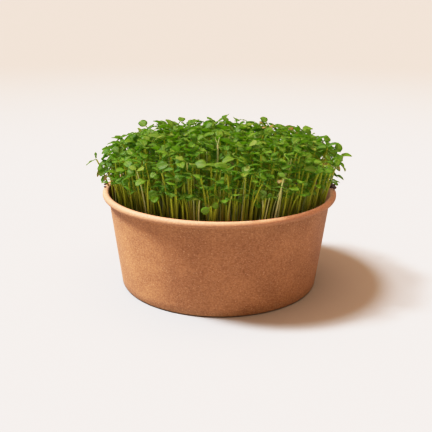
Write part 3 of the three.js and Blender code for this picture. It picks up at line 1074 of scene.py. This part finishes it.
def singles_mesh():
    """Loose points that carry what each single seedling is given."""
    rows = [*SINGLES, BARE_FORK]
    heads = np.array([row[:3] for row in rows]) * MM
    roots = heads * (ROOT_SHARE, ROOT_SHARE, 0) + (0, 0, MEDIUM_TOP - ROOT_DEPTH)
    bends = roots + (heads - roots) * (BEND_OUT, BEND_OUT, BEND_SHARE)
    pair = lambda column: np.array([(*row[column], 0) for row in rows], dtype=float)
    tones = np.array([row[TONE] for row in rows], dtype=float)
    count = len(rows)
    kinds = len(LEAF_SHAPES)
    shapes = [(k % kinds, (k + SECOND_SHAPE) % kinds, 0) for k in range(count)]
    shapes[-1] = (kinds, kinds, 0)
    mesh = bpy.data.meshes.new("single_seedlings")
    mesh.from_pydata([tuple(root) for root in roots], [], [])
    vectors = {
        "root": roots, "bend": bends, "head": heads,
        "pitch": np.radians(pair(PITCHES)), "roll": np.radians(pair(ROLLS)), "size": pair(SIZES),
        "shape": shapes,
    }
    numbers = {
        "turn": np.radians([row[TURN] for row in rows]), "girth": np.ones(count),
        "tone": tones, "hull": (tones > 1) & (tones < FORK_TONE),
    }
    for name, values in vectors.items():
        layer = mesh.attributes.new(name, "FLOAT_VECTOR", "POINT")
        layer.data.foreach_set("vector", np.array(values, dtype=np.float32).ravel())
    for name, values in numbers.items():
        layer = mesh.attributes.new(name, "FLOAT", "POINT")
        layer.data.foreach_set("value", np.array(values, dtype=np.float32))
    return mesh


def singles_tree():
    g, given = new_tree("grow_singles", ("Points", "Geometry"), ("Leaf Shapes", "Collection"))
    seeds = g.add("GeometryNodeMeshToPoints", {}, given["Points"])
    return end_tree(g, grow(g, seeds, given["Leaf Shapes"]))


singles = grown(
    "cress_seedlings_at_the_edge", singles_tree(), {"Leaf Shapes": leaf_collection},
    singles_mesh(),
)
finish_piece(singles, "greens")
print("single seedlings:", len(SINGLES) + 1, "faces:", len(singles.data.polygons))
for leaf in list(leaf_collection.objects):
    bpy.data.objects.remove(leaf)
bpy.data.collections.remove(leaf_collection)

# %% [markdown]
# ## Seed coats on the rim
# A few dark seed coats and crumbs of the medium were carried up and lie on the rim, in a small
# clump on the right and two by themselves on the left. Each is a ball of few faces, drawn out and
# roughened, and sunk a little into the paper's curl so that it rests there.

# %% Seed coats on the rim
COATS = (
    # x, y, z, radius, turn
    (72.3, -3.0, 64.1, 1.7, 20),
    (70.9, -1.2, 64.2, 1.5, 70),
    (73.6, -5.2, 63.6, 1.3, 120),
    (70.2, -4.0, 63.6, 1.2, 200),
    (72.6, 0.4, 63.8, 1.2, 250),
    (71.6, -2.4, 66.6, 1.4, 300),
    (-74.2, 1.5, 62.9, 0.8, 40),
    (-73.4, -5.0, 62.8, 0.75, 330),
)
COAT_LENGTH = 1.5
COAT_FLATNESS = 0.9
COAT_ROUGHNESS = 0.22
COAT_GRAIN = 900

coat_sheet = bmesh.new()
for x, y, z, radius, turn in COATS:
    middle = Vector((x, y, z)) * MM
    place = Matrix.Translation(middle) @ Matrix.Rotation(math.radians(turn), 4, "Z")
    place = place @ Matrix.Diagonal((COAT_LENGTH, 1, COAT_FLATNESS, 1))
    made = bmesh.ops.create_icosphere(coat_sheet, subdivisions=2, radius=radius * MM, matrix=place)
    for vertex in made["verts"]:
        rough = noise.noise(vertex.co * COAT_GRAIN)
        vertex.co += (vertex.co - middle) * COAT_ROUGHNESS * rough
coat_mesh = bpy.data.meshes.new("seed_coats_on_rim")
coat_sheet.to_mesh(coat_mesh)
coat_sheet.free()
coat_mesh.polygons.foreach_set("use_smooth", [True] * len(coat_mesh.polygons))
coat_mesh.materials.append(seed_coat)
coats_on_rim = bpy.data.objects.new("seed_coats_on_rim", coat_mesh)
finish_piece(coats_on_rim, "soil")
print("seed coats:", len(COATS))

# %% [markdown]
# ## Floor
# The bowl stands on a plain pale floor that reaches past the edges of the picture. It is almost
# white around the bowl and a little warmer far away, as a long sheet of paper looks when only its
# near part is lit well. The distance from the middle of the floor drives that, so it looks alike
# from every side.

# %% Floor
FLOOR_SIZE = 600.0
FLOOR_NEAR = (0.33, 0.333, 0.305)
FLOOR_FAR = (0.302, 0.269, 0.218)
NEAR_END = 0.25
FAR_START = 1.6


def floor_material():
    material, g, surface = new_material("pale_floor")
    here = g.add("ShaderNodeTexCoord")["Object"]
    far = contrast(g, here.math("LENGTH"), NEAR_END, FAR_START)
    colour = mixed(g, far, FLOOR_NEAR, FLOOR_FAR)
    g.feed(surface, g.add("ShaderNodeBsdfDiffuse", {}, Color=colour))
    return material


half_floor = FLOOR_SIZE / 2
corners = [(-half_floor, -half_floor, 0), (half_floor, -half_floor, 0)]
corners += [(half_floor, half_floor, 0), (-half_floor, half_floor, 0)]
floor = mesh_object("floor", corners, [(0, 1, 2, 3)], floor_material())
bpy.context.scene.collection.objects.link(floor)
print("floor:", FLOOR_SIZE, "m")

# %% [markdown]
# ## Light
# The key light is a sun on the left, a little behind the bowl and rather high, so the shadow of
# the rim falls close on the right. The sky is a warm fill: bright overhead like a big soft box above
# a table, for the rolled rim and the leaves, and pale along the horizon like the walls of a room,
# which keeps the shaded wall of the bowl light down to its foot and meets the floor's far edge.

# %% Sky
SKY_TOP = (1.85, 1.06, 0.68)
SKY_EDGE = (0.05, 0.028, 0.016)
SKY_HORIZON = (0.585, 0.465, 0.39)
BOX_EDGES = (0.62, 0.98)
WALL_EDGES = (0.07, 0.34)

world = bpy.data.worlds.new("studio")
world.use_nodes = True
world.node_tree.nodes.clear()
sky = Graph(world.node_tree)
direction = sky.add("ShaderNodeSeparateXYZ", {}, sky.add("ShaderNodeTexCoord")["Generated"])
overhead = contrast(sky, direction["Z"], *BOX_EDGES)
sky_colour = mixed(sky, overhead, SKY_EDGE, SKY_TOP)
above_walls = contrast(sky, direction["Z"], *WALL_EDGES)
sky_colour = mixed(sky, above_walls, SKY_HORIZON, sky_colour)
background = sky.add("ShaderNodeBackground", {}, sky_colour)
sky.feed(world.node_tree.nodes.new("ShaderNodeOutputWorld").inputs["Surface"], background)
bpy.context.scene.world = world
print("sky, from horizon to top:", SKY_HORIZON, SKY_EDGE, SKY_TOP)

# %% [markdown]
# ## The sun, and light that passes the leaves
# Seed leaves are thin, and part of the sun passes between and through them, so the stand casts only
# a pale shadow on the paper and the floor, and its own inside isn't black. Light linking gives that
# without thousands of samples: the sun is split into lamps of nearly one direction. The seedlings,
# the bowl and the floor have two each: one that only the bowl and the medium block, and one that the
# leaves block as well. The bowl's second lamp ignores the tufts that hang over the rim on the sun's
# side, because a real leaf so close would let its light spread over the paper.

# %% Sun
SUN_STRENGTH = 5.4
SUN_SIDE = -62 * MM
SUN_COLOUR = (1.0, 1.07, 1.24)
SUNS = {
    # share of the strength, then turn behind the left, height and width in degrees
    "held_by_leaves_on_seedlings": (0.265, 10, 57.5, 6),
    "past_leaves_on_seedlings": (0.035, 10, 57.5, 6),
    "past_leaves_on_bowl": (0.15, 2, 56, 14),
    "held_by_leaves_on_bowl": (0.85, 3, 56, 12),
    "past_leaves_on_floor": (0.41, 3, 59, 13),
    "held_by_leaves_on_floor": (0.41, 6, 54.5, 9),
}


def linked(name, objects, state):
    """A collection for light linking, in which these objects are included or left out."""
    collection = bpy.data.collections.new(name)
    for item in objects:
        collection.objects.link(item)
    for entry in collection.collection_objects:
        entry.light_linking.link_state = state
    return collection


def sun_lamp(name, lights, blocked_by=None):
    """One lamp of the sun, with what it lights and what casts its shadows."""
    share, turn, height, width = SUNS[name]
    turn, height = math.radians(turn), math.radians(height)
    sun = bpy.data.lights.new(f"sun_{name}", "SUN")
    sun.energy = SUN_STRENGTH * share
    sun.angle = math.radians(width)
    sun.color = SUN_COLOUR
    lamp = bpy.data.objects.new(sun.name, sun)
    level = math.cos(height)
    aim = (-math.cos(turn) * level, math.sin(turn) * level, math.sin(height))
    lamp.rotation_euler = Vector(aim).to_track_quat("Z", "Y").to_euler()
    bpy.context.scene.collection.objects.link(lamp)
    lamp.light_linking.receiver_collection = lights
    if blocked_by:
        lamp.light_linking.blocker_collection = blocked_by


bowl_pieces = [bowl_wall, bowl_base, coats_on_rim]
opaque = [bowl_wall, bowl_base, medium]
far_tufts = [tuft for tuft in tufts if tuft.bound_box[0][0] > SUN_SIDE]
past_leaves = linked("bowl_and_medium", opaque, "INCLUDE")
held_on_bowl = linked("bowl_and_far_tufts", opaque + far_tufts, "INCLUDE")
surfaces = {
    # what is lit, and what blocks the second lamp, where that isn't everything
    "seedlings": (linked("all_but_bowl_and_floor", [floor, *bowl_pieces], "EXCLUDE"), None),
    "bowl": (linked("only_the_bowl", bowl_pieces, "INCLUDE"), held_on_bowl),
    "floor": (linked("only_the_floor", [floor], "INCLUDE"), None),
}
for name, (lit, blockers) in surfaces.items():
    sun_lamp(f"past_leaves_on_{name}", lit, past_leaves)
    sun_lamp(f"held_by_leaves_on_{name}", lit, blockers)
print("sun lamps:", len(SUNS), "tufts that shade the bowl:", len(far_tufts))

# %% [markdown]
# ## Tones
# A camera doesn't record light evenly: bright tones are held back, and the brightest channel most,
# so the sunlit rim turns paler as well as lighter. One curve does the same here. It works on values
# up to 1, so the lights above are half as strong as the picture needs, and the exposure, which
# comes after the curve, doubles the result.

# %% Tone curve
TONE_CURVE = (
    (0, 0), (0.05, 0.046), (0.1, 0.092), (0.2, 0.187), (0.35, 0.34), (0.5, 0.48), (0.7, 0.645),
    (0.9, 0.775), (1.1, 0.87), (1.4, 0.945), (2, 1),
)
CURVE_SCALE = 0.5

view = bpy.context.scene.view_settings
view.view_transform = "Standard"
view.exposure = 1.0
view.use_curve_mapping = True
tones = view.curve_mapping.curves[3].points
while len(tones) < len(TONE_CURVE):
    tones.new(0.5, 0.5)
for point, place in zip(tones, TONE_CURVE):
    point.location = [value * CURVE_SCALE for value in place]
view.curve_mapping.update()
print("tones held back above", TONE_CURVE[4][0])
